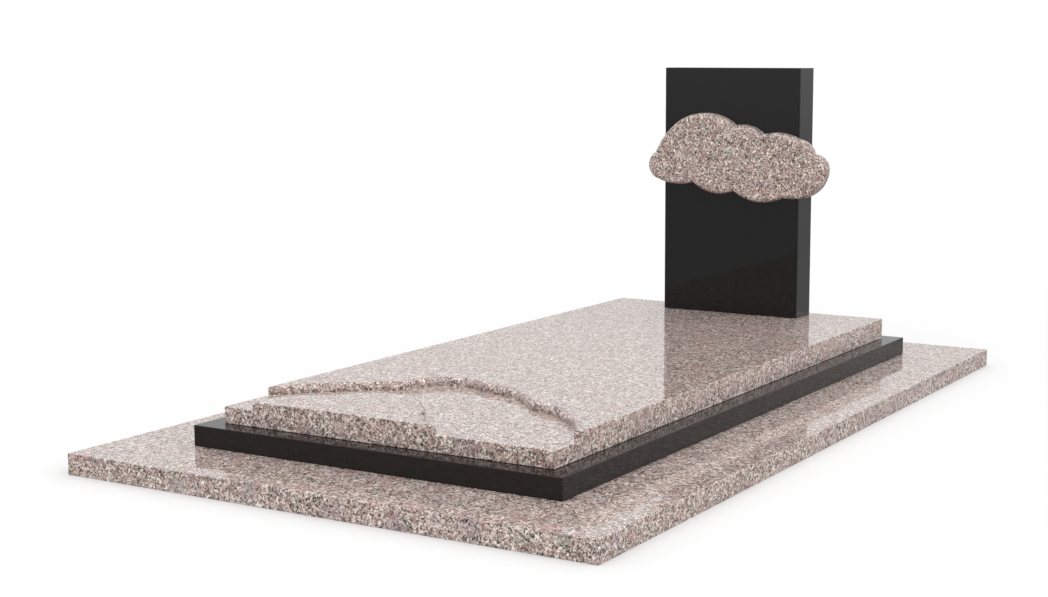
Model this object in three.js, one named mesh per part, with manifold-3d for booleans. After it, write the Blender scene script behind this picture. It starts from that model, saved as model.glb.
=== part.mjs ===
// A granite grave monument: a broad pink base slab, a low black plinth frame, a pink ledger with a
// cloud-edged recess carved at its foot, a black headstone, and a pink cloud fixed to its front.
// Millimetres, +Z up. The origin is at the middle of the underside, and the foot end faces -Y.

import * as THREE from "three";
import { mergeVertices } from "three/addons/utils/BufferGeometryUtils.js";
import Module from "manifold-3d";

const wasm = await Module();
wasm.setup();

// Driving dimensions

const BED = 0.3; // the thin bedding joint left between stone and stone

const base = { width: 1400, length: 2400, height: 50 };
const plinth = { width: 1000, length: 2000, height: 50, kerb: 120 };
const ledger = { width: 900, length: 1900, height: 60 };
const headstone = { width: 450, depth: 100, height: 750, fromHeadEdge: 30 };
const cloud = { thickness: 40, edgeRadius: 16, arcStep: 9 };
const relief = { depth: 20, edgeRadius: 15, squareEnd: 45, margin: 60, arcStep: 12 };

// Steps in each quarter round of a rounded edge
const EDGE_STEPS = 4;

// Levels, from the ground up
const plinthBottom = base.height + BED;
const plinthTop = base.height + plinth.height;
const ledgerBottom = plinthTop + BED;
const ledgerTop = plinthTop + ledger.height;
const recessFloor = ledgerTop - relief.depth;
const headstoneBottom = ledgerTop + BED;
const headstoneTop = ledgerTop + headstone.height;
const headstoneBack = ledger.length / 2 - headstone.fromHeadEdge;
const headstoneFront = headstoneBack - headstone.depth;

// The carved edges are rows of round lobes that meet in sharp notches. Each lobe is an arc from the
// point before it to its own end point, and rise is how far the arc stands out from the straight
// line between them.

// The recess's edge across the ledger, from left to right, seen from above. Between each end of it
// and the slab's side, the edge runs straight across and is left square.
const recessStart = [-442, -797];
const recessLobes = [
  { end: [-200, -585], rise: 20 },
  { end: [-33, -502], rise: 62 },
  { end: [180, -621], rise: 24 },
  { end: [431, -838], rise: 36 },
];

// The low cloud left standing in the recess, cut off by the ledger's foot face
const islandStart = [-365, -950];
const islandLobes = [
  { end: [-256, -790], rise: 42 },
  { end: [-25, -755], rise: 76 },
  { end: [40, -843], rise: 7 },
  { end: [95, -916], rise: 6 },
  { end: [143, -950], rise: 15.4 },
];

// The cloud on the headstone, seen from the front as x and height above the ground, going
// round clockwise from the notch at its upper left
const cloudStart = [-243, 652];
const cloudLobes = [
  { end: [-190, 727], rise: 5 },
  { end: [22, 738], rise: 41 },
  { end: [115, 712], rise: 12 },
  { end: [230, 701], rise: 12 },
  { end: [281, 658], rise: 10 },
  { end: [325, 617], rise: 10.5 },
  { end: [262, 530], rise: 17 },
  { end: [182, 525], rise: 4 },
  { end: [22, 541], rise: 23 },
  { end: [-113, 562], rise: 20 },
  { end: [-235, 569], rise: 10.5 },
  { end: [-243, 652], rise: 28 },
];

// Points along a row of lobes. The arcs bulge to the left of the direction of travel.
function alongLobes(start, lobes, arcStep) {
  const points = [new THREE.Vector2(...start)];
  for (const { end, rise } of lobes) {
    const from = points[points.length - 1];
    const to = new THREE.Vector2(...end);
    const half = from.distanceTo(to) / 2;
    const radius = (half * half + rise * rise) / (2 * rise);
    const middle = from.clone().add(to).divideScalar(2);
    const outward = to.clone().sub(from).normalize().rotateAround(new THREE.Vector2(), Math.PI / 2);
    const centre = middle.addScaledVector(outward, rise - radius);
    const startAngle = from.clone().sub(centre).angle();
    const sweep = 2 * Math.atan2(half, radius - rise);
    const steps = Math.max(2, Math.round((sweep * radius) / arcStep));
    for (let i = 1; i <= steps; i += 1) {
      const angle = startAngle - (sweep * i) / steps;
      const arm = new THREE.Vector2(radius * Math.cos(angle), radius * Math.sin(angle));
      points.push(arm.add(centre));
    }
  }
  return points;
}

// An outline drawn in by a distance, each corner along its own mitre
function drawnIn(outline, distance) {
  const count = outline.length;
  return outline.map((point, i) => {
    const before = point.clone().sub(outline[(i + count - 1) % count]).normalize();
    const after = outline[(i + 1) % count].clone().sub(point).normalize();
    const normalBefore = new THREE.Vector2(-before.y, before.x);
    const normalAfter = new THREE.Vector2(-after.y, after.x);
    const mitre = normalBefore.clone().add(normalAfter).normalize();
    return point.clone().addScaledVector(mitre, distance / mitre.dot(normalAfter));
  });
}

// A slab over an anticlockwise outline, with its top edge rounded all the way round
function roundedSlab(outline, bottom, top, edgeRadius) {
  const rings = [{ inset: 0, level: bottom }];
  for (let i = 0; i <= EDGE_STEPS; i += 1) {
    const angle = (Math.PI / 2) * (i / EDGE_STEPS);
    rings.push({
      inset: edgeRadius * (1 - Math.cos(angle)),
      level: top - edgeRadius * (1 - Math.sin(angle)),
    });
  }
  const count = outline.length;
  const positions = [];
  for (const { inset, level } of rings) {
    for (const point of drawnIn(outline, inset)) positions.push(point.x, point.y, level);
  }
  const indices = [];
  for (let ring = 0; ring + 1 < rings.length; ring += 1) {
    for (let i = 0; i < count; i += 1) {
      const a = ring * count + i;
      const b = ring * count + ((i + 1) % count);
      indices.push(a, b, b + count, a, b + count, a + count);
    }
  }
  const topRing = (rings.length - 1) * count;
  for (const [a, b, c] of THREE.ShapeUtils.triangulateShape(outline, [])) {
    indices.push(a, c, b, a + topRing, b + topRing, c + topRing);
  }
  const geometry = new THREE.BufferGeometry();
  geometry.setAttribute("position", new THREE.Float32BufferAttribute(positions, 3));
  geometry.setIndex(indices);
  return geometry;
}

// A plain block between two corners
function block(low, high) {
  const size = high.map((value, axis) => value - low[axis]);
  const middle = high.map((value, axis) => (value + low[axis]) / 2);
  return new THREE.BoxGeometry(...size).translate(...middle);
}

function asSolid(geometry) {
  const bare = geometry.clone();
  bare.deleteAttribute("normal");
  bare.deleteAttribute("uv");
  const merged = mergeVertices(bare);
  return new wasm.Manifold(
    new wasm.Mesh({
      numProp: 3,
      vertProperties: new Float32Array(merged.attributes.position.array),
      triVerts: new Uint32Array(merged.index.array),
    })
  );
}

function asGeometry(solid) {
  const mesh = solid.getMesh();
  const geometry = new THREE.BufferGeometry();
  geometry.setAttribute("position", new THREE.BufferAttribute(mesh.vertProperties, 3));
  geometry.setIndex(new THREE.BufferAttribute(mesh.triVerts, 1));
  geometry.computeVertexNormals();
  return geometry;
}

function makeBaseSlab() {
  const [x, y] = [base.width / 2, base.length / 2];
  return block([-x, -y, 0], [x, y, base.height]);
}

// One frame of kerbs, empty inside
function makePlinthFrame() {
  const [x, y] = [plinth.width / 2, plinth.length / 2];
  const outside = block([-x, -y, plinthBottom], [x, y, plinthTop]);
  const [innerX, innerY] = [x - plinth.kerb, y - plinth.kerb];
  const inside = block([-innerX, -innerY, 0], [innerX, innerY, ledgerTop]);
  return asGeometry(asSolid(outside).subtract(asSolid(inside)));
}

// The slab below the recess floor, with the main field and the low cloud standing on it. The two
// raised outlines run on past the slab's sides, where they are cut off square.
function makeLedgerSlab() {
  const [x, y] = [ledger.width / 2, ledger.length / 2];
  const past = relief.margin;
  const floor = block([-x, -y, ledgerBottom], [x, y, recessFloor]);

  const recessEdge = alongLobes(recessStart, recessLobes, relief.arcStep);
  const [recessLeft, recessLeftY] = recessStart;
  const [recessRight, recessRightY] = recessLobes.at(-1).end;
  const fieldOutline = [
    new THREE.Vector2(-x - past, recessLeftY),
    ...recessEdge,
    new THREE.Vector2(x + past, recessRightY),
    new THREE.Vector2(x + past, y + past),
    new THREE.Vector2(-x - past, y + past),
  ];
  const middleLevel = (ledgerBottom + recessFloor) / 2;
  const field = roundedSlab(fieldOutline, middleLevel, ledgerTop, relief.edgeRadius);
  const leftEnd = block(
    [-x - past, recessLeftY, middleLevel],
    [recessLeft, recessLeftY + relief.squareEnd, ledgerTop]
  );
  const rightEnd = block(
    [recessRight, recessRightY, middleLevel],
    [x + past, recessRightY + relief.squareEnd, ledgerTop]
  );

  const islandEdge = alongLobes(islandStart, islandLobes, relief.arcStep);
  const [islandLeft] = islandStart;
  const [islandRight] = islandLobes.at(-1).end;
  const islandOutline = [
    ...islandEdge,
    new THREE.Vector2(islandRight, -y - past),
    new THREE.Vector2(islandLeft, -y - past),
  ].reverse();
  const island = roundedSlab(islandOutline, middleLevel, ledgerTop, relief.edgeRadius);

  const within = block([-x, -y, ledgerBottom], [x, y, ledgerTop]);
  const raised = [field, leftEnd, rightEnd, island].map(asSolid).reduce((all, one) => all.add(one));
  return asGeometry(asSolid(floor).add(raised.intersect(asSolid(within))));
}

function makeHeadstone() {
  const x = headstone.width / 2;
  return block([-x, headstoneFront, headstoneBottom], [x, headstoneBack, headstoneTop]);
}

// The cloud is worked out lying on its back, then stood up against the headstone
function makeCloudOrnament() {
  const outline = alongLobes(cloudStart, cloudLobes, cloud.arcStep);
  outline.pop(); // the last point is the first again
  outline.reverse();
  const lying = roundedSlab(outline, BED, cloud.thickness, cloud.edgeRadius);
  return lying.rotateX(Math.PI / 2).translate(0, headstoneFront, 0);
}

// Materials

const pinkGranite = new THREE.MeshStandardMaterial({ color: 0xb3a29b, roughness: 0.22, metalness: 0 });
const honedPinkGranite = new THREE.MeshStandardMaterial({ color: 0xae9c95, roughness: 0.45, metalness: 0 });
const blackGranite = new THREE.MeshStandardMaterial({ color: 0x1c1b1a, roughness: 0.08, metalness: 0 });

const monument = new THREE.Group();

function addPiece(name, geometry, material) {
  const mesh = new THREE.Mesh(geometry, material);
  mesh.name = name;
  monument.add(mesh);
}

addPiece("base_slab", makeBaseSlab(), pinkGranite);
addPiece("plinth_frame", makePlinthFrame(), blackGranite);
addPiece("ledger_slab", makeLedgerSlab(), pinkGranite);
addPiece("headstone", makeHeadstone(), blackGranite);
addPiece("cloud_ornament", makeCloudOrnament(), honedPinkGranite);

export default monument;
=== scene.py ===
"""A granite grave monument: base slab, plinth frame, ledger, headstone and cloud, stone by stone."""

import math

import bmesh
import bpy
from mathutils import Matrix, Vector


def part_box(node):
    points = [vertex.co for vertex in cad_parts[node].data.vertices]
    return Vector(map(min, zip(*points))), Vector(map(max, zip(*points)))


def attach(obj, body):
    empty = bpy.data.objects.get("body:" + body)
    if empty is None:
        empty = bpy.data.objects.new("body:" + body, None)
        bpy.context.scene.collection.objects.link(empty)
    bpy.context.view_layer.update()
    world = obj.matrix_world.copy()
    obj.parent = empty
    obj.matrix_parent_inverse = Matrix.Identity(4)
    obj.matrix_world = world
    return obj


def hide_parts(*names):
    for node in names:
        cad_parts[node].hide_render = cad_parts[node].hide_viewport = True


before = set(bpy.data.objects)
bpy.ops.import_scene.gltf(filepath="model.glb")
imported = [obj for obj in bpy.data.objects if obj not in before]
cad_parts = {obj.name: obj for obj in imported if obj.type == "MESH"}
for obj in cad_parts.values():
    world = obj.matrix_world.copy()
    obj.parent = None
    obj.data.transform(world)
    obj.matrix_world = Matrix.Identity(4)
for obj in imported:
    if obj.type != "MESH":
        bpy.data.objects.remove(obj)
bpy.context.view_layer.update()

# Base slab
# The broad slab of pink granite that the whole monument lies on. It is sawn, polished all over,
# and its edges are eased by a narrow arris. It lies on the ground by its own weight.

MM = 0.001
ARRIS = 1.6 * MM
ARRIS_STEPS = 2
SHARP_CORNER = math.radians(50)

# Linear colours of the minerals, and of the patches that tint them
BLACK_MICA = (0.018, 0.014, 0.013, 1)
BROWN_QUARTZ = (0.140, 0.103, 0.089, 1)
SMOKY_QUARTZ = (0.215, 0.173, 0.155, 1)
GREY_QUARTZ = (0.36, 0.302, 0.272, 1)
TAN_FELDSPAR = (0.405, 0.30, 0.245, 1)
PINK_FELDSPAR = (0.49, 0.33, 0.298, 1)
ROSE_FELDSPAR = (0.44, 0.225, 0.225, 1)
CREAM_FELDSPAR = (0.665, 0.548, 0.485, 1)
WHITE_FELDSPAR = (0.85, 0.773, 0.715, 1)
GREEN_GREY_FELDSPAR = (0.36, 0.385, 0.31, 1)
MAUVE_FELDSPAR = (0.39, 0.30, 0.325, 1)
AVERAGE_GRANITE = (0.43, 0.35, 0.315)

# Each crystal has a random number from 0 to 1. These say which of them become what mineral, and
# how strongly the mineral or the patch then colours the stone.
QUARTZ_ABOVE = 0.68
QUARTZ_SHARE = 0.85
SMALL_QUARTZ_BELOW = 0.23
SMALL_QUARTZ_SHARE = 0.6
SMALL_WHITE_ABOVE = 0.84
SMALL_WHITE_SHARE = 0.7
MICA_ABOVE = 0.915
MICA_GATHERED = 0.35
MICA_SHARE = 0.9
ROSE_SHARE = 0.40
GREEN_SHARE = 0.32
MAUVE_SHARE = 0.38
MAUVE_APART = (3.1, 1.7, 5.3)
GRANITE_IOR = 1.5
PINK_GRAIN = 6.0 * MM
PINK_CONTRAST = 1.2


class Wire:
    """A shader socket. Sums and products of wires add their own Math nodes."""

    def __init__(self, nodes, socket):
        self.nodes = nodes
        self.socket = socket

    def out(self, name):
        """Another output of the same node."""
        return Wire(self.nodes, self.socket.node.outputs[name])

    def maths(self, operation, first, second):
        return self.nodes.add("ShaderNodeMath", {"operation": operation}, {0: first, 1: second})

    def __add__(self, other):
        return self.maths("ADD", self, other)

    __radd__ = __add__

    def __sub__(self, other):
        return self.maths("SUBTRACT", self, other)

    def __rsub__(self, other):
        return self.maths("SUBTRACT", other, self)

    def __mul__(self, other):
        return self.maths("MULTIPLY", self, other)

    __rmul__ = __mul__

    def __gt__(self, limit):
        return self.maths("GREATER_THAN", self, limit)

    def __lt__(self, limit):
        return self.maths("LESS_THAN", self, limit)


class Nodes:
    """The node tree of one finish, or of the light."""

    def __init__(self, tree):
        self.tree = tree

    def add(self, kind, settings=None, sockets=None):
        """One node: its settings first, then the values or wires of its sockets."""
        node = self.tree.nodes.new(kind)
        for name, value in (settings or {}).items():
            if name == "stops":
                ramp = node.color_ramp
                while len(ramp.elements) < len(value):
                    ramp.elements.new(1)
                for element, (position, colour) in zip(ramp.elements, value):
                    element.position = position
                    element.color = colour
            else:
                setattr(node, name, value)
        for name, value in (sockets or {}).items():
            self.connect(node.inputs[name], value)
        return Wire(self, node.outputs[0])

    def connect(self, socket, value):
        if isinstance(value, Wire):
            self.tree.links.new(value.socket, socket)
        else:
            socket.default_value = value

    def mix(self, share, first, second):
        """A blend of two colours, wholly the second where share is 1."""
        settings = {"data_type": "RGBA", "blend_type": "MIX"}
        return self.add("ShaderNodeMix", settings, {0: share, 6: first, 7: second}).out(2)

    def vector(self, operation, *values):
        """A sum or product of vectors or colours, number by number."""
        return self.add("ShaderNodeVectorMath", {"operation": operation}, dict(enumerate(values)))

    def ramp(self, share, low, high):
        """0 below low, 1 above high, and a straight rise between."""
        sockets = {"Value": share, "From Min": low, "From Max": high}
        return self.add("ShaderNodeMapRange", {"clamp": True}, sockets)


def new_finish(name, surface):
    """A material whose look is worked out by surface(nodes), which gives the shader's sockets."""
    material = bpy.data.materials.new(name)
    material.use_nodes = True
    nodes = Nodes(material.node_tree)
    shader = material.node_tree.nodes["Principled BSDF"]
    for socket, value in surface(nodes).items():
        nodes.connect(shader.inputs[socket], value)
    return material


def crystals(nodes, place, size):
    """Closely packed crystals: three random numbers for each one."""
    sockets = {"Vector": place, "Scale": 1 / size, "Randomness": 1.0}
    cells = nodes.add("ShaderNodeTexVoronoi", {"feature": "F1"}, sockets)
    return nodes.add("ShaderNodeSeparateColor", {}, {"Color": cells.out("Color")})


def cloudiness(nodes, place, size, detail):
    """A soft random field, about 0.5 on average."""
    sockets = {"Vector": place, "Scale": 1 / size, "Detail": detail, "Roughness": 0.55}
    return nodes.add("ShaderNodeTexNoise", {"normalize": True}, sockets)


def pink_granite(nodes, grain, contrast):
    """The colour of pink granite, and where its mica is. grain is the size of a feldspar crystal,
    and contrast is how far the minerals differ from their average."""
    place = nodes.add("ShaderNodeTexCoord").out("Object")
    wander = cloudiness(nodes, place, grain * 1.4, 2.0).out("Color")
    offset = nodes.vector("SUBTRACT", wander, (0.5,) * 3)
    wavy = nodes.vector("MULTIPLY_ADD", offset, (grain * 1.1,) * 3, place)

    feldspar = crystals(nodes, wavy, grain)
    palette = [
        (0.00, TAN_FELDSPAR),
        (0.18, PINK_FELDSPAR),
        (0.42, CREAM_FELDSPAR),
        (0.60, SMOKY_QUARTZ),
        (0.74, CREAM_FELDSPAR),
        (0.88, WHITE_FELDSPAR),
        (1.00, PINK_FELDSPAR),
    ]
    colour = nodes.add("ShaderNodeValToRGB", {"stops": palette}, {"Fac": feldspar})

    gathered = cloudiness(nodes, place, grain * 3.0, 2.0) - 0.5
    quartz = crystals(nodes, wavy, grain * 0.8)
    smoky = nodes.mix(quartz.out("Green"), BROWN_QUARTZ, GREY_QUARTZ)
    colour = nodes.mix(((quartz + gathered) > QUARTZ_ABOVE) * QUARTZ_SHARE, colour, smoky)
    small = crystals(nodes, wavy, grain * 0.5)
    colour = nodes.mix((small < SMALL_QUARTZ_BELOW) * SMALL_QUARTZ_SHARE, colour, BROWN_QUARTZ)
    colour = nodes.mix((small > SMALL_WHITE_ABOVE) * SMALL_WHITE_SHARE, colour, WHITE_FELDSPAR)

    middle = tuple(value * (1 - contrast) for value in AVERAGE_GRANITE)
    colour = nodes.vector("MULTIPLY_ADD", colour, (contrast,) * 3, middle)

    rose = nodes.ramp(cloudiness(nodes, place, grain * 6.0, 1.5), 0.55, 0.70)
    colour = nodes.mix(rose * ROSE_SHARE, colour, ROSE_FELDSPAR)
    green = nodes.ramp(cloudiness(nodes, wavy, grain * 7.5, 1.5), 0.40, 0.28)
    colour = nodes.mix(green * GREEN_SHARE, colour, GREEN_GREY_FELDSPAR)
    mauve_place = nodes.vector("ADD", place, MAUVE_APART)
    mauve = nodes.ramp(cloudiness(nodes, mauve_place, grain * 9.0, 1.0), 0.54, 0.70)
    colour = nodes.mix(mauve * MAUVE_SHARE, colour, MAUVE_FELDSPAR)

    flakes = crystals(nodes, wavy, grain * 0.55)
    mica = (flakes + gathered * MICA_GATHERED) > MICA_ABOVE
    return nodes.mix(mica * MICA_SHARE, colour, BLACK_MICA), mica


def polished_pink(nodes):
    """Pink granite with a mirror polish, a little duller on the mica."""
    colour, mica = pink_granite(nodes, PINK_GRAIN, PINK_CONTRAST)
    return {"Base Color": colour, "Roughness": 0.06 + mica * 0.06, "IOR": GRANITE_IOR}


def finished_piece(name, shape, materials, node):
    """The bmesh becomes a piece that stands for its CAD solid, with clean normals on flat faces."""
    mesh = bpy.data.meshes.new(name)
    bmesh.ops.recalc_face_normals(shape, faces=shape.faces)
    for face in shape.faces:
        face.smooth = True
    for edge in shape.edges:
        edge.smooth = edge.calc_face_angle(0) < SHARP_CORNER
    shape.to_mesh(mesh)
    shape.free()
    piece = bpy.data.objects.new(name, mesh)
    bpy.context.scene.collection.objects.link(piece)
    for material in materials:
        mesh.materials.append(material)
    normals = piece.modifiers.new("flat_faces", "WEIGHTED_NORMAL")
    normals.keep_sharp = True
    normals.weight = 100
    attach(piece, "root")
    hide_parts(node)
    return piece


def eased(shape, edges):
    """Cuts an arris along the given edges."""
    bmesh.ops.recalc_face_normals(shape, faces=shape.faces)
    bmesh.ops.bevel(
        shape,
        geom=edges,
        offset=ARRIS,
        segments=ARRIS_STEPS,
        profile=0.5,
        affect="EDGES",
        clamp_overlap=True,
    )


def block(low, high):
    """A sawn block between two corners, with all its edges eased."""
    shape = bmesh.new()
    corners = [
        shape.verts.new((x, y, z)) for z in (low.z, high.z) for y in (low.y, high.y) for x in (low.x, high.x)
    ]
    for side in ((0, 1, 3, 2), (4, 5, 7, 6), (0, 1, 5, 4), (2, 3, 7, 6), (0, 2, 6, 4), (1, 3, 7, 5)):
        shape.faces.new([corners[i] for i in side])
    eased(shape, shape.edges[:])
    return shape


polished_pink_granite = new_finish("polished_pink_granite", polished_pink)
finished_piece(
    "base_slab_polished",
    block(*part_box("base_slab")),
    [polished_pink_granite],
    "base_slab",
)

# Plinth frame
# The low course between the base slab and the ledger: kerbs of fine black granite set on the
# slab as one closed frame, empty inside, and polished on their top and outer faces.

KERB_WIDTH = 120 * MM
KERB_GROUND = (0.0115, 0.0097, 0.0090, 1)
KERB_STREAK = (0.0180, 0.0152, 0.0141, 1)
KERB_FLECK = (0.030, 0.0255, 0.0235, 1)
KERB_IOR = 1.29
FLECK_SIZE = 1.8 * MM
STREAK_HEIGHT = 3.0 * MM
STREAK_STRETCH = (0.05, 0.05, 1.0)


def fine_flecks(nodes, place):
    """Faint pale grains a millimetre or two across, thicker in some places than in others."""
    flecks = nodes.ramp(crystals(nodes, place, FLECK_SIZE), 0.55, 1.0)
    return flecks * cloudiness(nodes, place, 30 * MM, 2.0)


def polished_kerb(nodes):
    """Brownish black, with the faint level streaks that the saw's path leaves under the polish."""
    place = nodes.add("ShaderNodeTexCoord").out("Object")
    drawn_out = nodes.vector("MULTIPLY", place, STREAK_STRETCH)
    streaks = nodes.ramp(cloudiness(nodes, drawn_out, STREAK_HEIGHT, 3.0), 0.35, 0.7)
    ground = nodes.mix(streaks, KERB_GROUND, KERB_STREAK)
    colour = nodes.mix(fine_flecks(nodes, place), ground, KERB_FLECK)
    return {"Base Color": colour, "Roughness": 0.05 + streaks * 0.03, "IOR": KERB_IOR}


def kerb_frame(low, high, kerb):
    """Kerbs round an empty middle. The outer arrises are eased."""
    shape = bmesh.new()
    loops = []
    for z in (low.z, high.z):
        for inset in (0, kerb):
            x = (low.x + inset, high.x - inset)
            y = (low.y + inset, high.y - inset)
            plan = ((x[0], y[0]), (x[1], y[0]), (x[1], y[1]), (x[0], y[1]))
            loops.append([shape.verts.new((*corner, z)) for corner in plan])
    under_outer, under_inner, over_outer, over_inner = loops
    for i in range(4):
        j = (i + 1) % 4
        for near, far in (
            (under_outer, over_outer),
            (over_outer, over_inner),
            (over_inner, under_inner),
            (under_inner, under_outer),
        ):
            shape.faces.new((near[i], near[j], far[j], far[i]))
    bmesh.ops.dissolve_limit(shape, angle_limit=0.001, verts=shape.verts, edges=[])
    outer = set(under_outer + over_outer)
    eased(shape, [edge for edge in shape.edges if outer.issuperset(edge.verts)])
    return shape


finished_piece(
    "plinth_frame_polished",
    kerb_frame(*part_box("plinth_frame"), KERB_WIDTH),
    [new_finish("polished_kerb_granite", polished_kerb)],
    "plinth_frame",
)

# Ledger slab
# The pink granite slab that covers the grave. Its foot end is carved 20 mm down into a recess
# with a scalloped cloud edge, and a low cloud is left standing in it. Flat faces are polished,
# and the carved edges are rounded by hand and stay duller. By the sides the edge is left square.

RECESS_DEPTH = 20 * MM
CARVED_ROUND = 15 * MM
ROUND_STEPS = 10
LOBE_STEP = 4 * MM
POLISHED, CARVED = 0, 1
CARVED_CONTRAST = 1.35
# The painted shade on carved stone starts this far under the top, then comes the brown mixed into all carved
# stone, and then the painted shade added down the wall towards the recess floor
UNSHADED_TOP_BAND = 3 * MM
CARVED_DARKER = 0.08
FLOOR_PAINTED_SHADE = 0.30

# Each lobe runs from the end of the one before it to its own end point, and rise is how far its
# arc stands out from the straight line between them, to the left of the way it runs.
RECESS_START = (-442, -797)
RECESS_LOBES = (
    ((-200, -585), 20),
    ((-33, -502), 62),
    ((180, -621), 24),
    ((431, -838), 36),
)
ISLAND_START = (-365, -950)
ISLAND_LOBES = (
    ((-256, -790), 42),
    ((-25, -755), 76),
    ((40, -843), 7),
    ((95, -916), 6),
    ((143, -950), 15.4),
)


def circles_of(start, lobes):
    """Each lobe as its circle: centre and radius."""
    circles = []
    here = Vector(start) * MM
    for end, rise in lobes:
        there = Vector(end) * MM
        rise = rise * MM
        half = (there - here).length / 2
        radius = (half * half + rise * rise) / (2 * rise)
        along = (there - here).normalized()
        outward = Vector((-along.y, along.x))
        centre = (here + there) / 2 + outward * (rise - radius)
        circles.append((centre, radius))
        here = there
    return circles


def where_circles_meet(one, other, near):
    """The crossing of two circles that lies nearer to a given point."""
    (centre, radius), (other_centre, other_radius) = one, other
    between = other_centre - centre
    distance = between.length
    along = (radius**2 - other_radius**2 + distance**2) / (2 * distance)
    across = math.sqrt(max(0.0, radius**2 - along**2))
    middle = centre + between * (along / distance)
    sideways = Vector((-between.y, between.x)) * (across / distance)
    return min((middle + sideways, middle - sideways), key=lambda point: (point - near).length)


def where_circle_meets_line(circle, axis, side, near):
    """The crossing of a circle with the line x or y = side that lies nearer to a point."""
    centre, radius = circle
    away = side - centre[axis]
    reach = math.sqrt(max(0.0, radius**2 - away**2))
    crossings = []
    for sign in (1, -1):
        point = centre.copy()
        point[axis] = side
        point[1 - axis] += sign * reach
        crossings.append(point)
    return min(crossings, key=lambda point: (point - near).length)


def lobed_line(start, lobes, offset, axis=None, sides=None):
    """Points along a row of lobes whose circles have grown by offset. The row ends on two lines,
    x or y = one of the sides, or closes on itself where no sides are given."""
    circles = circles_of(start, lobes)
    grown = [(centre, radius + offset) for centre, radius in circles]
    count = len(lobes)
    notches = [Vector(start) * MM] + [Vector(end) * MM for end, _ in lobes]
    if sides is None:
        meets = [where_circles_meet(grown[i - 1], grown[i], notches[i]) for i in range(count)]
        meets.append(meets[0])
    else:
        meets = [where_circle_meets_line(grown[0], axis, sides[0], notches[0])]
        for i in range(1, count):
            meets.append(where_circles_meet(grown[i - 1], grown[i], notches[i]))
        meets.append(where_circle_meets_line(grown[-1], axis, sides[1], notches[-1]))
    points = []
    for i, (centre, radius) in enumerate(grown):
        steps = max(3, round((notches[i + 1] - notches[i]).length / LOBE_STEP))
        first = meets[i] - centre
        turn = first.angle_signed(meets[i + 1] - centre)
        for step in range(steps):
            angle = -turn * step / steps
            swung = Vector((
                first.x * math.cos(angle) - first.y * math.sin(angle),
                first.x * math.sin(angle) + first.y * math.cos(angle),
            ))
            points.append(centre + swung)
    if sides is not None:
        points.append(meets[-1])
    return points


def rounded(radius):
    """A rounded edge, from the side to the face: how far in from the side and below the face."""
    angles = [math.pi / 2 * step / ROUND_STEPS for step in range(ROUND_STEPS + 1)]
    return [(radius * (1 - math.cos(angle)), radius * (1 - math.sin(angle))) for angle in angles]


def strip_between(shape, lower, upper, material_index, closed=False):
    """A row of four-sided faces from one line of points to the next."""
    count = len(lower)
    for i in range(count if closed else count - 1):
        j = (i + 1) % count
        face = shape.faces.new((lower[i], lower[j], upper[j], upper[i]))
        face.material_index = material_index


def carved_edge(shape, start, lobes, way_in, axis, sides, floor, top):
    """The rounded edge along a row of lobes. way_in is 1 where the stone lies outside the
    circles and -1 where it lies inside. Gives its lines of points from floor to top."""
    lines = []
    profile = [(0, floor)] + [(inset, top - drop) for inset, drop in rounded(CARVED_ROUND)]
    for inset, height in profile:
        row = lobed_line(start, lobes, way_in * inset, axis, sides)
        lines.append([shape.verts.new((point.x, point.y, height)) for point in row])
    for lower, upper in zip(lines, lines[1:]):
        strip_between(shape, lower, upper, CARVED)
    return lines


def ledger(low, high):
    """The slab with both carved edges. Between the recess's edge and the slab's sides, a post is
    left square at each end."""
    shape = bmesh.new()
    floor = high.z - RECESS_DEPTH
    ends = (RECESS_START, RECESS_LOBES[-1][0])
    recess_sides = [x * MM for x, _ in ends]
    recess = carved_edge(shape, RECESS_START, RECESS_LOBES, 1, 0, recess_sides, floor, high.z)
    island = carved_edge(shape, ISLAND_START, ISLAND_LOBES, -1, 1, (low.y, low.y), floor, high.z)
    foot_left, foot_right = (shape.verts.new((x, low.y, floor)) for x in (low.x, high.x))
    head_left, head_right = (shape.verts.new((x, high.y, high.z)) for x in (low.x, high.x))
    under = [
        shape.verts.new((x, y, low.z))
        for x, y in ((low.x, low.y), (high.x, low.y), (high.x, high.y), (low.x, high.y))
    ]
    left, right = [line[0] for line in recess], [line[-1] for line in recess]
    island_left = [line[0] for line in island]
    island_right = [line[-1] for line in island]
    corner_left, corner_right = (shape.verts.new((x * MM, y * MM, high.z)) for x, y in ends)
    side_left, side_right = (
        [shape.verts.new((x, y * MM, z)) for z in (floor, high.z)]
        for x, (_, y) in zip((low.x, high.x), ends)
    )
    polished_faces = (
        [side_left[1], corner_left, *recess[-1], corner_right, side_right[1], head_right, head_left],
        [side_left[0], *recess[0], side_right[0], foot_right, *reversed(island[0]), foot_left],
        island[-1],
        [under[0], foot_left, *island_left, *reversed(island_right), foot_right, under[1]],
        [under[1], foot_right, *side_right, head_right, under[2]],
        [under[2], head_right, head_left, under[3]],
        [under[3], head_left, *reversed(side_left), foot_left, under[0]],
        under,
    )
    carved_faces = (
        [*side_left, corner_left, left[1], left[0]],
        [*left[1:], corner_left],
        [*side_right, corner_right, right[1], right[0]],
        [*right[1:], corner_right],
    )
    for faces, finish in ((polished_faces, POLISHED), (carved_faces, CARVED)):
        for corners in faces:
            shape.faces.new(corners).material_index = finish
    # The edges that lie wholly in a side of the slab
    outer = [
        edge
        for edge in shape.edges
        if any(all(abs(abs(vert.co[axis]) - high[axis]) < 1e-6 for vert in edge.verts) for axis in (0, 1))
    ]
    eased(shape, outer)
    return shape


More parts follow.
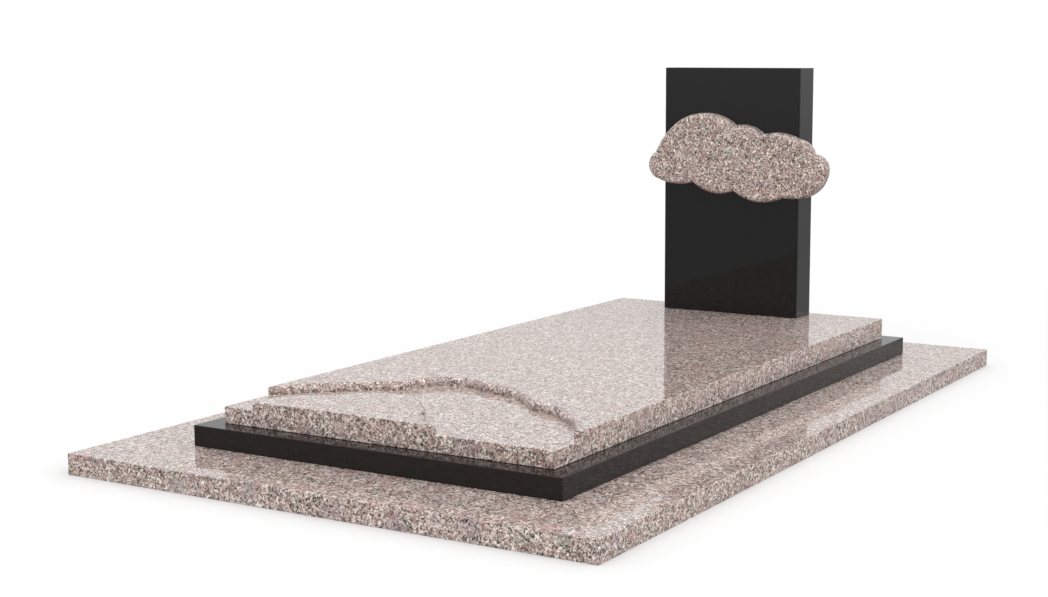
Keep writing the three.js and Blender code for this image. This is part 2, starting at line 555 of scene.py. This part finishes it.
def carved_pink(nodes):
    """The same granite where a tool has shaped it: less polished, slightly uneven, a shade darker, and with
    painted shade that deepens down the wall towards the floor of the recess."""
    colour, mica = pink_granite(nodes, PINK_GRAIN, CARVED_CONTRAST)
    place = nodes.add("ShaderNodeTexCoord").out("Object")
    height = nodes.add("ShaderNodeSeparateXYZ", {}, {"Vector": place}).out("Z")
    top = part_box("ledger_slab")[1].z
    # Painted shade: none in a narrow band under the top, then deepening down to the recess floor
    shade_towards_floor = nodes.ramp(height, top - UNSHADED_TOP_BAND, top - RECESS_DEPTH)
    colour = nodes.mix(CARVED_DARKER + shade_towards_floor * FLOOR_PAINTED_SHADE, colour, BROWN_QUARTZ)
    pitting = cloudiness(nodes, place, 2.5 * MM, 3.0)
    sockets = {"Strength": 0.25, "Distance": 0.4 * MM, "Height": pitting}
    return {
        "Base Color": colour,
        "Roughness": 0.22 + mica * 0.1,
        "IOR": GRANITE_IOR,
        "Normal": nodes.add("ShaderNodeBump", {}, sockets),
    }


carved_pink_granite = new_finish("carved_pink_granite", carved_pink)
finished_piece(
    "ledger_slab_carved",
    ledger(*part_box("ledger_slab")),
    [polished_pink_granite, carved_pink_granite],
    "ledger_slab",
)

# Headstone
# The upright slab at the head, sawn from a deeper black granite than the plinth and polished on
# every face. It stands on the ledger by its own weight, and a dowel inside keeps it in place.

BLACK_GROUND = (0.0026, 0.0025, 0.0024, 1)
GREY_FLECK = (0.010, 0.0097, 0.0093, 1)


def polished_black(nodes):
    """A neutral black with a mirror polish and faint grey flecks."""
    place = nodes.add("ShaderNodeTexCoord").out("Object")
    flecks = fine_flecks(nodes, place)
    colour = nodes.mix(flecks, BLACK_GROUND, GREY_FLECK)
    return {"Base Color": colour, "Roughness": 0.04 + flecks * 0.02, "IOR": GRANITE_IOR}


finished_piece(
    "headstone_polished",
    block(*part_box("headstone")),
    [new_finish("polished_black_granite", polished_black)],
    "headstone",
)

# Cloud ornament
# A flat cloud cut from a slab of pink granite, with its front edge well rounded and its face
# honed to a soft sheen. It is glued to the headstone and stands out past both its sides.

CLOUD_ROUND = 16 * MM
HONED_GRAIN = 5.2 * MM
HONED_CONTRAST = 1.5
HONED_DARKER = 0.09
# How strongly painted shade darkens the rounded edge, on top of the honed finish's own darker tone
EDGE_PAINTED_SHADE = 0.16
CLOUD_START = (-243, 652)
CLOUD_LOBES = (
    ((-190, 727), 5),
    ((22, 738), 41),
    ((115, 712), 12),
    ((230, 701), 12),
    ((281, 658), 10),
    ((325, 617), 10.5),
    ((262, 530), 17),
    ((182, 525), 4),
    ((22, 541), 23),
    ((-113, 562), 20),
    ((-235, 569), 10.5),
    ((-243, 652), 28),
)


def cloud(low, high):
    """The cloud, built up in lines of points from its eased back edge to its rounded front edge."""
    shape = bmesh.new()
    profile = [(ARRIS, high.y), (0, high.y - ARRIS)]
    profile += [(inset, low.y + drop) for inset, drop in rounded(CLOUD_ROUND)]
    lines = []
    for inset, y in profile:
        row = lobed_line(CLOUD_START, CLOUD_LOBES, -inset)
        lines.append([shape.verts.new((point.x, y, point.y)) for point in row])
    for lower, upper in zip(lines, lines[1:]):
        strip_between(shape, lower, upper, 0, closed=True)
    shape.faces.new(lines[0])
    shape.faces.new(lines[-1])
    return shape


def honed_pink(nodes):
    """A finer pink granite, with a little less shine, a shade darker overall, and painted shade round the
    rounded edge.
    """
    colour, mica = pink_granite(nodes, HONED_GRAIN, HONED_CONTRAST)
    place = nodes.add("ShaderNodeTexCoord").out("Object")
    depth = nodes.add("ShaderNodeSeparateXYZ", {}, {"Vector": place}).out("Y")
    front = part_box("cloud_ornament")[0].y
    # Painted shade on the rounded edge: none on the flat face, and full where the edge has turned to the
    # sides and back
    edge_shade = nodes.ramp(depth, front, front + CLOUD_ROUND)
    colour = nodes.mix(HONED_DARKER + edge_shade * EDGE_PAINTED_SHADE, colour, BROWN_QUARTZ)
    return {"Base Color": colour, "Roughness": 0.34 + mica * 0.08, "IOR": GRANITE_IOR}


finished_piece(
    "cloud_ornament_honed",
    cloud(*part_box("cloud_ornament")),
    [new_finish("honed_pink_granite", honed_pink)],
    "cloud_ornament",
)

# Floor and light
# A plain white studio floor, and soft light from all round that is brightest overhead.

FLOOR_SIZE = 120
FLOOR_WHITE = (0.80, 0.80, 0.80, 1)
FLOOR_BOUNCE = (0.53, 0.53, 0.53, 1)


def matt_white(nodes):
    """White as seen, but throwing back less light than that onto the stone."""
    seen = nodes.add("ShaderNodeLightPath").out("Is Camera Ray")
    colour = nodes.mix(seen, FLOOR_BOUNCE, FLOOR_WHITE)
    return {"Base Color": colour, "Roughness": 1.0, "Specular IOR Level": 0.0}


floor_shape = bmesh.new()
bmesh.ops.create_grid(floor_shape, x_segments=1, y_segments=1, size=FLOOR_SIZE / 2)
floor_mesh = bpy.data.meshes.new("studio_floor")
floor_shape.to_mesh(floor_mesh)
floor_shape.free()
floor_mesh.materials.append(new_finish("studio_floor_white", matt_white))
floor = bpy.data.objects.new("studio_floor", floor_mesh)
floor.visible_glossy = False
bpy.context.scene.collection.objects.link(floor)

# How bright the surroundings are, as pairs of the sine of the height above the horizon, from -1
# to 1, and the brightness there
SKY = ((-1.0, 0.45), (-0.07, 0.45), (0.0, 0.66), (0.17, 0.86), (0.42, 1.14), (0.87, 1.29), (1.0, 1.29))
SKY_TOP = max(level for _, level in SKY)
BACKDROP_WHITE = 1.05

# The upper light leans to the front right, where a wide soft light also stands lower down. Near
# the horizon on the front left the surroundings are dim.
KEY_SIDE = (0.8, -0.6)
LEAN = 0.30
LEAN_HEIGHTS = (0.22, 0.55)
SOFT_LIGHT = 0.85
SOFT_LIGHT_HEIGHTS = (0.03, 0.12, 0.45, 0.80)
SOFT_LIGHT_WIDTH = (0.35, 0.90)
DIM_SIDE = (-0.5, -0.866)
DIM_STRENGTH = 0.65
DIM_HEIGHTS = (0.02, 0.08, 0.20, 0.32)
DIM_WIDTH = (0.72, 0.92)

world = bpy.data.worlds.new("studio")
world.use_nodes = True
bpy.context.scene.world = world
sky = Nodes(world.node_tree)
direction = sky.add("ShaderNodeTexCoord").out("Generated")
east = sky.add("ShaderNodeSeparateXYZ", {}, {"Vector": direction})
north = east.out("Y")
height = east.out("Z")
stops = [((sine + 1) / 2, (level / SKY_TOP,) * 3 + (1,)) for sine, level in SKY]
level = sky.add("ShaderNodeValToRGB", {"stops": stops}, {"Fac": height * 0.5 + 0.5})


def band(levels):
    """1 between the two middle heights, and 0 outside the two outer ones."""
    return sky.ramp(height, *levels[:2]) * (1 - sky.ramp(height, *levels[2:]))


towards_key = east * KEY_SIDE[0] + north * KEY_SIDE[1]
lean = towards_key * sky.ramp(height, *LEAN_HEIGHTS) * LEAN
soft_light = sky.ramp(towards_key, *SOFT_LIGHT_WIDTH) * band(SOFT_LIGHT_HEIGHTS) * SOFT_LIGHT
towards_dim = east * DIM_SIDE[0] + north * DIM_SIDE[1]
dim = 1 - sky.ramp(towards_dim, *DIM_WIDTH) * band(DIM_HEIGHTS) * DIM_STRENGTH
seen = sky.add("ShaderNodeLightPath").out("Is Camera Ray")
brightness = level * SKY_TOP * (1 + lean + soft_light) * dim * (1 - seen) + seen * BACKDROP_WHITE
background = world.node_tree.nodes["Background"]
sky.connect(background.inputs["Strength"], brightness)
background.inputs["Color"].default_value = (1, 1, 1, 1)

# Camera
# It stands in front of the foot end, to its right, and looks a little down at the monument.

CAMERA_PLACE = (2.2417, -3.8774, 0.9520)
CAMERA_AZIMUTH = 29.986
CAMERA_PITCH = 8.513
PHOTO_WIDTH = 1048
PHOTO_HEIGHT = 597
FOCAL_PIXELS = 1700.57
AXIS_PIXEL = (597.38, 308.24)
SENSOR_WIDTH = 36

camera_data = bpy.data.cameras.new("camera")
camera_data.sensor_width = SENSOR_WIDTH
camera_data.lens = SENSOR_WIDTH * FOCAL_PIXELS / PHOTO_WIDTH
camera_data.shift_x = (PHOTO_WIDTH / 2 - AXIS_PIXEL[0]) / PHOTO_WIDTH
camera_data.shift_y = (AXIS_PIXEL[1] - PHOTO_HEIGHT / 2) / PHOTO_WIDTH
camera = bpy.data.objects.new("camera", camera_data)
camera.location = CAMERA_PLACE
camera.rotation_euler = (math.radians(90 - CAMERA_PITCH), 0, math.radians(CAMERA_AZIMUTH))
bpy.context.scene.collection.objects.link(camera)
bpy.context.scene.camera = camera
bpy.context.scene.view_settings.view_transform = "Standard"
